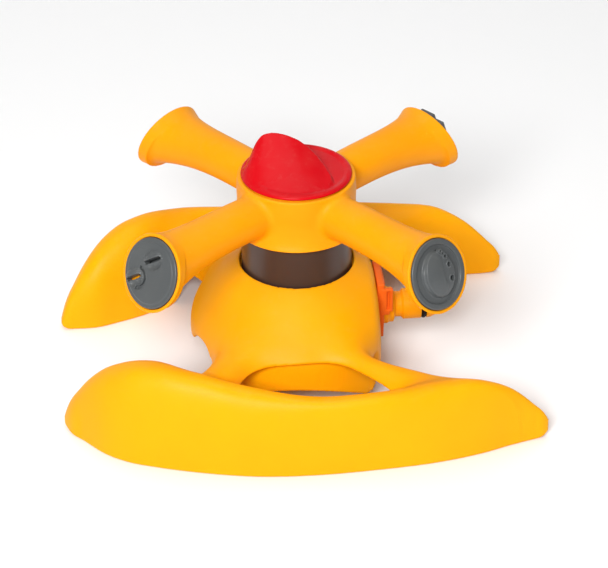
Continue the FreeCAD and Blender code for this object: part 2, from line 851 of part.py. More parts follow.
def main():
    os.makedirs("parts", exist_ok=True)
    rear_right, rear_left, front_left, front_right = arm_azimuths()
    pieces = {
        "base_shell": base_shell(),
        "base_collar": base_collar(),
        "riser_tube": riser(),
        "riser_o_ring": riser_o_ring(),
        "riser_screws": riser_screws(),
        "inlet_elbow": inlet_elbow(),
        "inlet_spigot": inlet_spigot(),
        "spigot_o_ring": spigot_o_ring(),
        "elbow_o_ring": elbow_o_ring(),
        "inlet_filter": inlet_filter(),
        "inlet_clip": inlet_clip(),
        "thrust_washer": thrust_washer(),
        "retaining_clip": retaining_clip(),
        "rotor_body": rotor_body(),
        "rotor_bush": rotor_bush(),
        "rotor_seal": rotor_seal(),
        "valve_seat": valve_seat(),
        "port_seals": port_seals(),
        "hub_cap": hub_cap(),
        "spindle_seal": spindle_seal(),
        "head_seals": head_seals(),
        "twin_slot_head": on_arm(twin_slot_head(), front_left),
        "shower_head": on_arm(shower_head(), front_right),
        "fan_head": on_arm(block_head(3, 1.9), rear_right),
        "jet_head": on_arm(jet_head(), rear_left),
        "selector_disc": selector_disc(),
        "selector_dial": selector_dial(),
        "dial_screw": dial_screw(),
    }
    for name, shape in pieces.items():
        shape.exportStep("parts/" + name + ".step")
        state = "valid" if shape.isValid() else "INVALID"
        print(name, state, "solids", len(shape.Solids), round(shape.Volume))


main()
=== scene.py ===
import json
import math

import bmesh
import bpy
import numpy as np
import openvdb
from mathutils import Matrix, Quaternion, Vector


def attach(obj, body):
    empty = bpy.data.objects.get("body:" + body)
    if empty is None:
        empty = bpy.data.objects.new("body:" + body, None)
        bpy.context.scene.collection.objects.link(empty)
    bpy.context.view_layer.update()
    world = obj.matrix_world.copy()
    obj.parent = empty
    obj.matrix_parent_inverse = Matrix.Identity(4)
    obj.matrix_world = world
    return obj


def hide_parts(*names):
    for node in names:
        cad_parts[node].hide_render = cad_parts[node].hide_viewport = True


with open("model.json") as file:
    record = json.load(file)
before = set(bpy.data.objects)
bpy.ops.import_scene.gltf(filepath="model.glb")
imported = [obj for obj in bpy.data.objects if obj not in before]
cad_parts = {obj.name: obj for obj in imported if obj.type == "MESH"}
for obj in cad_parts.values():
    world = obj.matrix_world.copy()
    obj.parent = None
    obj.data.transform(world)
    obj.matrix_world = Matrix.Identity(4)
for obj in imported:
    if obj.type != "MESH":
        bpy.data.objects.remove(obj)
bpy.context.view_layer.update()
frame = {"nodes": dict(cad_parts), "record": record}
mm = 0.001
scene = bpy.context.scene


# small helpers for sizes, curves and meshes

def curveThrough(x, xs, ys):  # smooth curve through a few given points
    xs = np.asarray(xs, float)
    ys = np.asarray(ys, float)
    slope = np.gradient(ys, xs)
    i = np.clip(np.searchsorted(xs, x, side="right") - 1, 0, len(xs) - 2)
    span = xs[i + 1] - xs[i]
    t = np.clip((x - xs[i]) / span, 0.0, 1.0)
    a = 2 * t ** 3 - 3 * t ** 2 + 1
    b = t ** 3 - 2 * t ** 2 + t
    c = -2 * t ** 3 + 3 * t ** 2
    d = t ** 3 - t ** 2
    return a * ys[i] + b * span * slope[i] + c * ys[i + 1] + d * span * slope[i + 1]


def smoothUnion(a, b, radius):
    h = np.maximum(radius - np.abs(a - b), 0.0) / radius
    return np.minimum(a, b) - h * h * radius * 0.25


def smoothCut(a, b, radius):  # a with b taken away
    return -smoothUnion(-a, b, radius)


def asDistance(field, step):  # rescale a field so that it reads as millimetres near its surface
    gx, gy, gz = np.gradient(field, step)
    return field / np.maximum(np.sqrt(gx * gx + gy * gy + gz * gz), 0.02)


def gridOf(low, high, step):
    axes = [np.arange(a, b + step * 0.5, step) for a, b in zip(low, high)]
    return np.meshgrid(*axes, indexing="ij")


def meshFromField(name, field, low, step):
    grid = openvdb.FloatGrid()
    grid.copyFromArray(np.clip(field, -4 * step, 4 * step).astype(np.float32))
    points, tris, quads = grid.convertToPolygons(isovalue=0.0, adaptivity=0.0)
    points = (points * step + np.asarray(low)) * mm
    mesh = bpy.data.meshes.new(name)
    faces = [tuple(int(v) for v in f[::-1]) for f in tris]
    faces += [tuple(int(v) for v in f[::-1]) for f in quads]
    mesh.from_pydata(points.tolist(), [], faces)
    mesh.validate()
    piece = bpy.data.objects.new(name, mesh)
    scene.collection.objects.link(piece)
    for poly in mesh.polygons:
        poly.use_smooth = True
    return piece


def smoothShading(piece):
    for poly in piece.data.polygons:
        poly.use_smooth = True
    return piece


def pieceFromBmesh(name, bm):
    bmesh.ops.recalc_face_normals(bm, faces=bm.faces)
    mesh = bpy.data.meshes.new(name)
    bm.to_mesh(mesh)
    bm.free()
    piece = bpy.data.objects.new(name, mesh)
    scene.collection.objects.link(piece)
    return piece


def finishPiece(piece, body, slot, material, *nodes):
    piece.data.materials.clear()
    piece.data.materials.append(material)
    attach(piece, body)
    if nodes:
        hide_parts(*nodes)
    return piece


# base: two skids, a bell and four legs, hollow underneath

base = {
    "length": 252.0,
    "blunt": 127.5,
    "halfWidth": 106.9,
    "skidHeight": 52.0,
    "wall": 2.6,
    "domeRadius": 57.4,
    "domeHeight": 66.5,
    "skirt": 19.2,
    "inletFlat": 42.0,
    "inletHeight": 34.0,
    "well": 30.4,
    "archHeight": 37.5,
    "archCentre": 3.0,
    "legFloor": 14.0,
    "wallTop": 52.0,
    "deckLow": 57.0,
    "deckHigh": 60.0,
    "deckRadius": 50.0,
    "deckBore": 12.2,
    "inletHole": 9.1,
    "inletHoleStart": 30.0,
    "scallopTurn": 22.0,
    "scallopPlace": 54.0,
    "scallopHalf": 14.0,
    "scallopHeight": 14.0,
    "scallopRadius": 17.0,
    "step": 0.8,
}

# share of the length; outer foot, inner foot and crest in half widths;
# crest and foot heights in skid heights
skidTable = np.array([
    (0.000, 0.477, 0.420, 0.449, 0.10, 0.04),
    (0.008, 0.520, 0.411, 0.458, 0.22, 0.02),
    (0.036, 0.600, 0.408, 0.505, 0.48, 0.00),
    (0.079, 0.722, 0.411, 0.575, 0.75, 0.00),
    (0.127, 0.805, 0.449, 0.640, 0.92, 0.00),
    (0.183, 0.860, 0.505, 0.690, 1.00, 0.00),
    (0.270, 0.925, 0.640, 0.776, 0.97, 0.00),
    (0.389, 0.985, 0.750, 0.855, 0.87, 0.00),
    (0.508, 1.000, 0.765, 0.925, 0.80, 0.00),
    (0.635, 0.985, 0.765, 0.915, 0.80, 0.00),
    (0.770, 0.947, 0.755, 0.850, 0.81, 0.00),
    (0.865, 0.890, 0.750, 0.820, 0.755, 0.00),
    (0.925, 0.836, 0.745, 0.794, 0.60, 0.00),
    (0.968, 0.806, 0.748, 0.780, 0.40, 0.00),
    (0.992, 0.790, 0.755, 0.773, 0.27, 0.03),
    (1.000, 0.778, 0.765, 0.771, 0.20, 0.06),
])

# height above ground, radius of the bell
bellTable = np.array([
    (10.0, 57.6), (18.6, 57.4), (26.0, 57.5), (33.0, 57.0), (40.0, 54.8),
    (47.6, 50.5), (54.0, 45.6), (60.0, 39.8), (64.0, 34.8), (68.0, 29.0),
])

# height above ground, how far the bell flares over the arches
flareTable = np.array([
    (20.0, 5.4), (33.0, 5.0), (38.0, 4.3), (43.0, 2.6), (49.0, 0.9), (56.0, 0.0), (68.0, 0.0),
])

# distance out from the axis; low x, high x and height of a leg's back
bluntLegTable = np.array([
    (20, -44, -4, 50), (34, -47, -6, 47.5), (48, -52, -13, 43.5), (58, -57, -25, 41.5),
    (68, -65, -34, 41.5), (78, -75, -40, 42.5), (90, -90, -44, 42),
], float)
inletLegTable = np.array([
    (20, 2, 24, 50), (34, 4, 28, 47.0), (46, 6, 31, 43.5), (56, 11, 37, 42.0),
    (66, 21, 50, 41), (76, 33, 72, 40), (84, 40, 91, 38.5), (94, 46, 104, 36),
], float)


def hullField(across, up, low, peak, high, height, fullness):
    side = np.where(across > peak, high - peak, peak - low)
    u = np.abs(across - peak) / np.maximum(side, 0.5)
    v = np.maximum(up, 0.0) / np.maximum(height, 0.5)
    return (u ** fullness + v ** fullness) ** (1.0 / fullness) - 1.0


def skidField(x, y, z, step):
    share = (x + base["blunt"]) / base["length"]
    outer, inner, crest, height = [
        curveThrough(np.clip(share, 0, 1), skidTable[:, 0], skidTable[:, k]) for k in (1, 2, 3, 4)
    ]
    w = base["halfWidth"]
    body = hullField(y, z, inner * w, crest * w, outer * w, height * base["skidHeight"], 2.4)
    body = asDistance(body, step)
    ends = np.maximum(-share, share - 1.0) * base["length"]
    return np.maximum(body, ends)


def legField(x, y, z, table, step):
    low, high, height = [curveThrough(y, table[:, 0], table[:, k]) for k in (1, 2, 3)]
    floor = base["legFloor"]
    body = hullField(x, z - floor, low, (low + high) / 2, high, height - floor, 2.6)
    return np.maximum(asDistance(body, step), np.maximum(table[0, 0] - y, y - table[-1, 0]))


def bellField(x, y, z, step):
    r = np.sqrt(x * x + y * y)
    bell = asDistance(r - curveThrough(z, bellTable[:, 0], bellTable[:, 1]), step)
    return smoothCut(np.maximum(bell, z - base["domeHeight"]), base["inletFlat"] - x, 5.0)


def apronField(x, y, z, step):  # the bell flared over the arches, front and back
    r = np.sqrt(x * x + y * y)
    share = np.clip((y - 0.75 * np.abs(x - 2.0) - 8.0) / 24.0, 0.0, 1.0)
    flare = curveThrough(z, flareTable[:, 0], flareTable[:, 1]) * share * share * (3 - 2 * share)
    apron = asDistance(r - curveThrough(z, bellTable[:, 0], bellTable[:, 1]) - flare, step)
    return smoothCut(np.maximum(apron, z - base["domeHeight"]), base["inletFlat"] - x, 5.0)


def footHeight(x, y):  # where the shell's lower edge runs
    r = np.sqrt(x * x + y * y)
    share = np.clip((x + base["blunt"]) / base["length"], 0, 1)
    inner = curveThrough(share, skidTable[:, 0], skidTable[:, 2]) * base["halfWidth"]
    foot = curveThrough(share, skidTable[:, 0], skidTable[:, 5]) * base["skidHeight"]
    arch = base["archHeight"] - 6.5 * ((x - base["archCentre"]) / 41.0) ** 2
    front = np.clip((y - 40.0) / 6.0, 0.0, 1.0)
    skirt = np.maximum(base["skirt"] - 9.0 * ((x + 5) / 34.0) ** 2 * front, 8.0)
    skirt = skirt + 5.0 * np.clip((-45.0 - x) / 3.0, 0.0, 1.0) * np.clip((12.0 - y) / 3.0, 0.0, 1.0)
    middle = np.where(r > base["domeRadius"] + 0.6, arch, skirt)
    return np.where(y > inner - 0.5, np.maximum(foot, 0.0), np.maximum(middle, 2.0))


def scallopField(x, y, z):  # the round bites out of the bell's skirt on the blunt side
    angle = math.radians(180 - base["scallopTurn"])
    across = x * math.sin(angle) - y * math.cos(angle)
    along = x * math.cos(angle) + y * math.sin(angle)
    bite = np.sqrt(across ** 2 + (z - base["scallopHeight"]) ** 2) - base["scallopRadius"]
    return np.maximum(bite, np.abs(along - base["scallopPlace"]) - base["scallopHalf"])


def buildBase():
    step = base["step"]
    low = (-130.0, 0.0, -2.4)
    x, y, z = gridOf(low, (127.0, 110.0, 70.0), step)
    skid = skidField(x, y, z, step)
    legs = np.minimum(legField(x, y, z, bluntLegTable, step), legField(x, y, z, inletLegTable, step))
    lengthShare = np.clip((x + base["blunt"]) / base["length"], 0, 1)
    crestLine = curveThrough(lengthShare, skidTable[:, 0], skidTable[:, 3]) * base["halfWidth"]
    legs = np.maximum(legs, y - crestLine + 2.0)
    bell = bellField(x, y, z, step)
    apron = apronField(x, y, z, step)
    solid = smoothUnion(apron, legs, 10.0)
    solid = smoothUnion(solid, skid, 9.0)
    shell = np.maximum(solid, -(solid + base["wall"]))
    bellWall = np.maximum(np.maximum(bell, -(bell + base["wall"])), z - base["wallTop"])
    shell = np.minimum(shell, bellWall)
    shell = smoothCut(shell, scallopField(x, y, z), 1.5)
    shell = smoothCut(shell, z - footHeight(x, y), 1.2)
    r = np.sqrt(x * x + y * y)
    deck = np.maximum(np.maximum(base["deckLow"] - z, z - base["deckHigh"]),
                      np.maximum(r - base["deckRadius"], base["deckBore"] - r))
    shell = np.minimum(shell, np.maximum(deck, solid))
    shell = smoothCut(shell, np.maximum(r - base["well"], base["deckHigh"] - z), 0.8)
    inletHole = np.maximum(np.sqrt(y * y + (z - base["inletHeight"]) ** 2) - base["inletHole"],
                           base["inletHoleStart"] - x)
    shell = np.maximum(shell, -inletHole)
    rows = shell.shape[1] - 1
    full = np.concatenate([shell[:, :0:-1, :], shell], axis=1)
    piece = meshFromField("baseShell", full, (low[0], -rows * step, low[2]), step)
    for vertex in piece.data.vertices:
        vertex.co.z = max(vertex.co.z, 0.0)
    return piece


print("base shell")
baseShell = buildBase()


# rotor: hub, four trumpet arms, hollow inside

rotor = {
    "turn": -6.0,
    "armHeight": 103.8,
    "endHeight": 101.4,
    "reach": 102.5,
    "bow": 2.5,
    "root": 19.4,
    "rootRadius": 11.5,
    "endRadius": 19.85,
    "tilt": 22.0,
    "mouthFlare": 0.22,
    "mouthDepth": 5.4,
    "seat": 18.45,
    "seatDepth": 3.2,
    "throat": 11.9,
    "throatDepth": 7.6,
    "bore": 8.2,
    "boreStart": 17.0,
    "boreEnd": 9.0,
    "hubTop": 118.0,
    "skirtBottom": 90.2,
    "skirtWell": 30.9,
    "skirtWellTop": 92.0,
    "well": 28.4,
    "wellFloor": 109.6,
    "step": 0.5,
}

# height, radius of the hub
hubTable = np.array([
    (88.0, 35.2), (90.2, 34.6), (93.0, 33.2), (97.0, 32.0), (102.0, 31.4), (110.0, 31.5), (119.0, 31.0),
])


def armField(x, y, z):
    root, reach = rotor["root"], rotor["reach"]
    along = x.copy()
    for _ in range(5):
        share = np.clip((along - root) / (reach - root), 0, 1.1)
        lean = np.radians(rotor["tilt"]) * share ** 4
        centre = rotor["armHeight"] + (rotor["endHeight"] - rotor["armHeight"]) * share
        centre = centre + 4 * rotor["bow"] * share * (1 - share)
        along = x + (z - centre) * np.tan(lean)
    radius = rotor["rootRadius"] + (rotor["endRadius"] - rotor["rootRadius"]) * share ** 5
    radial = np.sqrt(y * y + ((z - centre) / np.cos(lean)) ** 2)
    return radial - radius, radial


def buildRotor():
    step = rotor["step"]
    low = (0.0, 0.0, 78.0)
    x, y, z = gridOf(low, (114.0, 114.0, 124.0), step)
    major = np.maximum(x, y)
    minor = np.minimum(x, y)
    tube, radial = armField(major, minor, z)
    lean = math.radians(rotor["tilt"])
    out = (major - rotor["reach"]) * math.cos(lean) + (z - rotor["endHeight"]) * math.sin(lean)
    rise = -(major - rotor["reach"]) * math.sin(lean) + (z - rotor["endHeight"]) * math.cos(lean)
    fromAxis = np.sqrt(rise ** 2 + minor ** 2)
    mouth = np.maximum(fromAxis - rotor["endRadius"] - rotor["mouthFlare"] * out, -out - rotor["mouthDepth"])
    arm = smoothCut(smoothUnion(tube, mouth, 2.6), -out, 0.9)
    r = np.sqrt(x * x + y * y)
    hub = asDistance(r - curveThrough(z, hubTable[:, 0], hubTable[:, 1]), step)
    caps = np.maximum(rotor["skirtBottom"] - z, z - rotor["hubTop"])
    body = smoothUnion(np.maximum(hub, caps), arm, 3.6)
    body = np.where(r < 40, np.maximum(body, caps), body)
    seat = np.maximum(fromAxis - rotor["seat"], -out - rotor["seatDepth"])
    throat = np.maximum(fromAxis - rotor["throat"], -out - rotor["throatDepth"])
    body = smoothCut(body, np.minimum(seat, throat), 0.6)
    bore = np.maximum(radial - rotor["bore"], np.maximum(rotor["boreStart"] - major, out + rotor["boreEnd"]))
    body = np.maximum(body, -bore)
    body = smoothCut(body, np.maximum(r - rotor["well"], rotor["wellFloor"] - z), 0.8)
    body = smoothCut(body, np.maximum(r - rotor["skirtWell"], z - rotor["skirtWellTop"]), 0.6)
    half = np.concatenate([body[:0:-1], body], axis=0)
    full = np.concatenate([half[:, :0:-1], half], axis=1)
    columns, rows = body.shape[0] - 1, body.shape[1] - 1
    piece = meshFromField("rotorShell", full, (-columns * step, -rows * step, low[2]), step)
    piece.data.transform(Matrix.Rotation(math.radians(45.0 + rotor["turn"]), 4, "Z"))
    return piece


print("rotor shell")
rotorShell = buildRotor()


# spray heads, each built in its own frame: x to the right, y up, z out of the mouth

head = {
    "radius": 18.2,
    "thickness": 3.2,
    "edge": 0.8,
    "plugRadius": 11.6,
    "plugDepth": 7.2,
    "plugWall": 1.8,
    "proud": 0.6,
    "sealRadius": 11.0,
    "sealHalf": 0.85,
    "sealPlace": -5.4,
    "grooveRadius": 10.7,
    "grooveHalf": 1.0,
    "holeDepth": 6.0,
    "step": 0.28,
}


def roundedDisc(r, z, radius, low, high, edge):
    across = r - (radius - edge)
    along = np.abs(z - (low + high) / 2) - ((high - low) / 2 - edge)
    outside = np.sqrt(np.maximum(across, 0) ** 2 + np.maximum(along, 0) ** 2)
    return outside + np.minimum(np.maximum(across, along), 0) - edge


def roundedBox(x, y, z, centre, half, edge, turn=0.0):
    c, s = math.cos(math.radians(turn)), math.sin(math.radians(turn))
    u = np.abs((x - centre[0]) * c + (y - centre[1]) * s) - (half[0] - edge)
    v = np.abs((y - centre[1]) * c - (x - centre[0]) * s) - (half[1] - edge)
    w = np.abs(z - centre[2]) - (half[2] - edge)
    outside = np.sqrt(np.maximum(u, 0) ** 2 + np.maximum(v, 0) ** 2 + np.maximum(w, 0) ** 2)
    return outside + np.minimum(np.maximum(np.maximum(u, v), w), 0) - edge


def ball(x, y, z, centre, radii):
    u = [(a - b) / c for a, b, c in zip((x, y, z), centre, radii)]
    k = np.sqrt(u[0] ** 2 + u[1] ** 2 + u[2] ** 2)
    return (k - 1.0) * min(radii)


def headGrid():
    low = (-19.0, -19.0, -10.0)
    return low, gridOf(low, (19.0, 19.0, 7.0), head["step"])


def headBlank(x, y, z):
    r = np.sqrt(x * x + y * y)
    disc = roundedDisc(r, z, head["radius"], -head["thickness"], 0.0, head["edge"])
    plug = np.maximum(np.abs(r - head["plugRadius"] + head["plugWall"] / 2) - head["plugWall"] / 2,
                      np.maximum(z + head["thickness"] - 0.5, -z - head["plugDepth"]))
    baffle = roundedDisc(r, z, head["plugRadius"] - 0.6, -head["plugDepth"], 1.2 - head["plugDepth"], 0.3)
    baffle = np.maximum(baffle, 2.2 - r)
    body = np.minimum(np.minimum(disc, plug), baffle)
    groove = np.maximum(head["grooveRadius"] - r, np.abs(z - head["sealPlace"]) - head["grooveHalf"])
    return np.maximum(body, -groove), r


def finishHead(name, field, low, azimuth):
    piece = meshFromField(name, field, low, head["step"])
    piece.data.transform(headPlace(azimuth))
    return piece


# slots of the twin-slot head: place, half length, turn in degrees
twinSlots = [((-0.1, 6.9), 5.6, 37.0), ((-9.6, -6.2), 4.9, 39.0)]


def buildTwinSlotHead():
    low, (x, y, z) = headGrid()
    body, r = headBlank(x, y, z)
    face = roundedDisc(r, z, 15.6, -1.5, 0.35, 0.3)
    body = smoothUnion(body, face, 0.8)
    for (px, py), length, turn in twinSlots:
        c, s = math.cos(math.radians(turn)), math.sin(math.radians(turn))
        u = (x - px) * c + (y - py) * s
        v = (y - py) * c - (x - px) * s
        hood = ball(u, v, z, (0.2, 0.6, -0.8), (length + 1.0, 4.2, 3.9))
        hood = smoothCut(hood, np.maximum(v - 0.1, 0.4 - z - 0.2 * v), 0.5)
        body = smoothUnion(body, np.maximum(hood, -z - 2.0), 0.6)
        ramp = ball(u, v, z, (0.6, -2.6, 1.7), (length - 0.2, 3.0, 2.7))
        body = smoothCut(body, ramp, 0.5)
        slot = np.maximum(np.maximum(np.abs(u) - length, np.abs(v) - 0.75), -z - head["holeDepth"])
        body = smoothCut(body, slot, 0.3)
    bend = np.abs(np.sqrt((x + 7.6) ** 2 + (y + 5.0) ** 2) - 5.4) - 0.9
    bend = np.maximum(np.maximum(bend, -7.6 - x), -1.6 - z)
    body = smoothCut(body, bend, 0.5)
    return finishHead("twinSlotHead", body, low, 225.0)


# holes of the shower head: place and radius
showerHoles = [
    ((2.9, 11.4), 0.6), ((4.1, 9.9), 0.6), ((5.2, 8.0), 0.85), ((6.3, 3.2), 1.15), ((6.1, -4.2), 1.35),
]


def buildShowerHead():
    low, (x, y, z) = headGrid()
    body, r = headBlank(x, y, z)
    body = smoothCut(body, np.maximum(np.abs(r - 12.8) - 2.2, -z - 1.2), 0.9)
    oval = np.sqrt((x / 10.2) ** 2 + (y / 12.2) ** 2) * 10.2
    dome = np.maximum(np.sqrt(x * x + y * y + (z + 30.0) ** 2) - 33.0, (oval - 9.9) + 0.35 * z)
    dome = np.maximum(dome, -z - 3.0)
    notch = np.maximum(1.4 - x + 0.02 * y * y, 2.1 - z - 0.03 * (x - 2.0))
    dome = smoothCut(dome, notch, 0.6)
    body = smoothUnion(body, dome, 0.6)
    for (px, py), radius in showerHoles:
        away = np.sqrt((x - px) ** 2 + (y - py) ** 2)
        hole = np.maximum(away - radius, -z - head["holeDepth"])
        boss = np.maximum(away - radius - 0.6, np.abs(z - 1.2) - 1.3)
        body = smoothCut(smoothUnion(body, boss, 0.5), hole, 0.25)
    return finishHead("showerHead", body, low, 315.0)


def buildFanHead():
    low, (x, y, z) = headGrid()
    body, _ = headBlank(x, y, z)
    block = roundedBox(x, y, z, (-1.0, 4.4, 1.2), (9.4, 7.4, 2.7), 0.9)
    crown = roundedBox(x, y, z, (3.8, 5.6, 3.9), (5.0, 5.4, 2.6), 0.9)
    body = smoothUnion(body, smoothUnion(block, crown, 0.8), 1.0)
    for k in (-1, 0, 1):
        slot = roundedBox(x, y, z, (3.8, 5.6 + 2.9 * k, 0), (3.6, 0.6, 9.0), 0.2)
        body = smoothCut(body, slot, 0.25)
    for side in (-1, 1):
        pocket = roundedBox(x, y, z, (side * 11.6, 0.5, 0.4), (1.3, 4.5, 1.6), 0.5)
        body = smoothCut(body, pocket, 0.5)
    return finishHead("fanHead", body, low, 45.0)


def buildJetHead():
    low, (x, y, z) = headGrid()
    body, r = headBlank(x, y, z)
    foot = roundedDisc(r, z, 8.4, -1.0, 2.9, 0.8)
    crown = roundedDisc(r, z, 5.4, 0.0, 5.4, 1.0)
    body = smoothUnion(body, smoothUnion(foot, crown, 1.0), 1.0)
    for k in range(6):
        angle = math.radians(60 * k + 30)
        spoke = roundedBox(x, y, z, (12.2 * math.cos(angle), 12.2 * math.sin(angle), 0.1),
                           (2.6, 0.55, 0.9), 0.3, 60 * k + 30)
        hole = np.sqrt((x - 2.9 * math.cos(angle)) ** 2 + (y - 2.9 * math.sin(angle)) ** 2) - 0.65
        hole = np.maximum(hole, -z - head["holeDepth"])
        body = smoothCut(smoothUnion(body, spoke, 0.4), hole, 0.3)
    hole = np.maximum(r - 1.0, -z - head["holeDepth"])
    return finishHead("jetHead", smoothCut(body, hole, 0.3), low, 135.0)


def headPlace(azimuth):
    lean = math.radians(rotor["tilt"])
    out = Vector((math.cos(lean), 0, math.sin(lean)))
    side = Vector((0, 1, 0))
    place = Matrix((side, out.cross(side), out)).transposed().to_4x4()
    place.translation = (Vector((rotor["reach"], 0, rotor["endHeight"])) + out * head["proud"]) * mm
    return Matrix.Rotation(math.radians(azimuth + rotor["turn"]), 4, "Z") @ place


def buildHeadSeals():  # one ring on each head's plug
    bm = bmesh.new()
    around, across = 64, 12
    for azimuth in (45.0, 135.0, 225.0, 315.0):
        place = headPlace(azimuth)
        rings = []
        for i in range(around):
            a = 2 * math.pi * i / around
            ring = []
            for j in range(across):
                b = 2 * math.pi * j / across
                r = head["sealRadius"] + head["sealHalf"] * math.cos(b)
                z = head["sealPlace"] + head["sealHalf"] * math.sin(b)
                ring.append(bm.verts.new(place @ (Vector((r * math.cos(a), r * math.sin(a), z)) * mm)))
            rings.append(ring)
        for a, b in zip(rings, rings[1:] + rings[:1]):
            for j in range(across):
                k = (j + 1) % across
                bm.faces.new((a[j], b[j], b[k], a[k]))
    return smoothShading(pieceFromBmesh("headSealRings", bm))


print("spray heads")
headSealRings = buildHeadSeals()
twinSlotHead = buildTwinSlotHead()
showerHead = buildShowerHead()
fanHead = buildFanHead()
jetHead = buildJetHead()


# selector dial: a round plate with a swept grip

dial = {
    "radius": 29.3,
    "low": 118.4,
    "plate": 119.7,
    "lip": 120.3,
    "lipStart": 24.6,
    "lipWidth": 2.6,
    "gripFront": 28.4,
    "gripRise": 0.965,
    "pivotHole": 4.1,
    "pivotTop": 119.0,
    "turn": -6.0,
    "step": 0.42,
}

# the grip's ridge from left to right as seen from the front: x, y, height over the plate
ridgeTable = np.array([
    (-28.8, 0.0, 0.0), (-26.4, 2.2, 3.0), (-24.0, 4.4, 7.6), (-21.2, 6.8, 13.6), (-18.4, 8.6, 16.9),
    (-13.2, 9.8, 18.3), (-6.5, 9.6, 17.4), (1.3, 8.5, 14.4), (6.0, 6.8, 11.4), (10.8, 3.4, 8.0),
    (15.0, -1.6, 4.6), (18.0, -8.0, 2.6),
])
ridgeEnd = [(18.6, -12.5), (17.2, -17.5), (14.6, -22.0), (11.0, -26.2)]


def buildDial():
    step = dial["step"]
    low = (-30.5, -30.5, 116.6)
    x, y, z = gridOf(low, (30.5, 30.5, 138.5), step)
    px, py = x[:, :, 0], y[:, :, 0]
    r = np.sqrt(px * px + py * py)
    front = -np.sqrt(np.maximum(dial["gripFront"] ** 2 - px * px, 0.0))
    back = curveThrough(np.clip(px, -28.8, 18.0), ridgeTable[:, 0], ridgeTable[:, 1])
    share = np.clip((py - front) / np.maximum(back - front, 1.0), 0.0, 1.0)
    spread = np.where(px < -13.2, -13.2 + (px + 13.2) * (0.5 + 0.5 * share), px)
    crest = curveThrough(np.clip(spread, -28.8, 18.0), ridgeTable[:, 0], ridgeTable[:, 2])
    edgeFade = np.clip((29.2 - r) / 5.0, 0.0, 1.0)
    rise = dial["gripRise"] * crest * share * (0.8 + 0.2 * share) * edgeFade * (2 - edgeFade)
    path = [(a, b) for a, b, _ in ridgeTable] + ridgeEnd
    edge = np.full(px.shape, 1e3)
    side = np.zeros(px.shape)
    for (ax, ay), (bx, by) in zip(path, path[1:]):
        length = math.hypot(bx - ax, by - ay)
        ux, uy = (bx - ax) / length, (by - ay) / length
        t = np.clip((px - ax) * ux + (py - ay) * uy, 0, length)
        gap = np.hypot(px - ax - t * ux, py - ay - t * uy)
        nearer = gap < edge
        side = np.where(nearer, np.sign((py - ay) * ux - (px - ax) * uy), side)
        edge = np.where(nearer, gap, edge)
    beyond = edge * side
    fall = 1.2 + 0.34 * np.clip(crest, 0, 17)
    mask = np.clip(1.0 - (beyond + 0.4) / fall, 0.0, 1.0)
    mask = mask * mask * (3 - 2 * mask)
    lip = np.clip((r - dial["lipStart"]) / dial["lipWidth"], 0, 1)
    floor = dial["plate"] + (dial["lip"] - dial["plate"]) * lip * lip * (3 - 2 * lip)
    top = floor + rise * mask
    field = asDistance(z - top[:, :, None], step)
    fromAxis = np.sqrt(x * x + y * y)
    field = smoothCut(field, dial["radius"] - fromAxis, 1.6)
    field = smoothCut(field, z - dial["low"], 0.5)
    field = np.maximum(field, -np.maximum(fromAxis - dial["pivotHole"], z - dial["pivotTop"]))
    piece = meshFromField("selectorDial", field, low, step)
    piece.data.transform(Matrix.Rotation(math.radians(dial["turn"]), 4, "Z"))
    return piece


print("dial")
selectorDial = buildDial()


# turned pieces: an outline of radius and place, its corners rounded, swept about an axis

def roundedOutline(corners, radius, steps=4):
    points = []
    count = len(corners)
    for i, corner in enumerate(corners):
        here = Vector(corner)
        before = Vector(corners[i - 1]) - here
        after = Vector(corners[(i + 1) % count]) - here
        cut = min(radius, before.length * 0.45, after.length * 0.45)
        start = here + before.normalized() * cut
        end = here + after.normalized() * cut
        for k in range(steps + 1):
            t = k / steps
            points.append(start * (1 - t) ** 2 + here * 2 * t * (1 - t) + end * t * t)
    return points


def turnedPiece(name, corners, radius, segments=128):
    outline = roundedOutline(corners, radius)
    bm = bmesh.new()
    rings = []
    for k in range(segments):
        angle = 2 * math.pi * k / segments
        c, s = math.cos(angle), math.sin(angle)
        rings.append([bm.verts.new((p.x * c * mm, p.x * s * mm, p.y * mm)) for p in outline])
    for a, b in zip(rings, rings[1:] + rings[:1]):
        for i in range(len(outline)):
            j = (i + 1) % len(outline)
            bm.faces.new((a[i], b[i], b[j], a[j]))
    return smoothShading(pieceFromBmesh(name, bm))


def layAlongInlet(piece):
    lift = Matrix.Translation((0, 0, inlet["height"] * mm))
    piece.data.transform(lift @ Matrix.Rotation(math.radians(90), 4, "Y"))
    return piece


inlet = {
    "height": 34.0,
    "flat": 42.0,
    "tip": 75.0,
    "land": 8.3,
    "bore": 4.2,
}

print("collar, inlet and clip")
collar = turnedPiece("collar", [
    (27.0, 60.0), (29.5, 60.0), (29.5, 62.2), (29.3, 62.5),
    (29.3, 86.6), (29.5, 87.0), (29.5, 88.6), (27.0, 88.6),
], 0.5, 192)


def buildSpigot():
    ringLow = inlet["tip"] - 8.0
    tail, land, bore = 8.8, inlet["land"], inlet["bore"]
    start = inlet["flat"] + 4.2
    flat, tip = inlet["flat"], inlet["tip"]
    outline = [
        (bore, 15.0), (tail, 15.0), (tail, flat), (tail - 1.5, flat), (tail - 1.5, start),
        (tail + 1.4, start), (tail + 1.4, start + 2.4), (tail + 0.7, start + 3.4), (tail + 0.7, start + 5.6),
        (land - 1.4, start + 6.8), (land - 1.4, start + 10.0), (land, start + 11.2), (land, ringLow),
        (land - 2.9, ringLow), (land - 2.9, ringLow + 3.0), (land - 0.2, ringLow + 3.0),
        (land - 0.4, tip - 2.5), (land - 1.6, tip), (bore + 0.6, tip), (bore, tip - 1.0),
    ]
    return layAlongInlet(turnedPiece("inletSpigot", outline, 0.35, 96))


inletSpigot = buildSpigot()

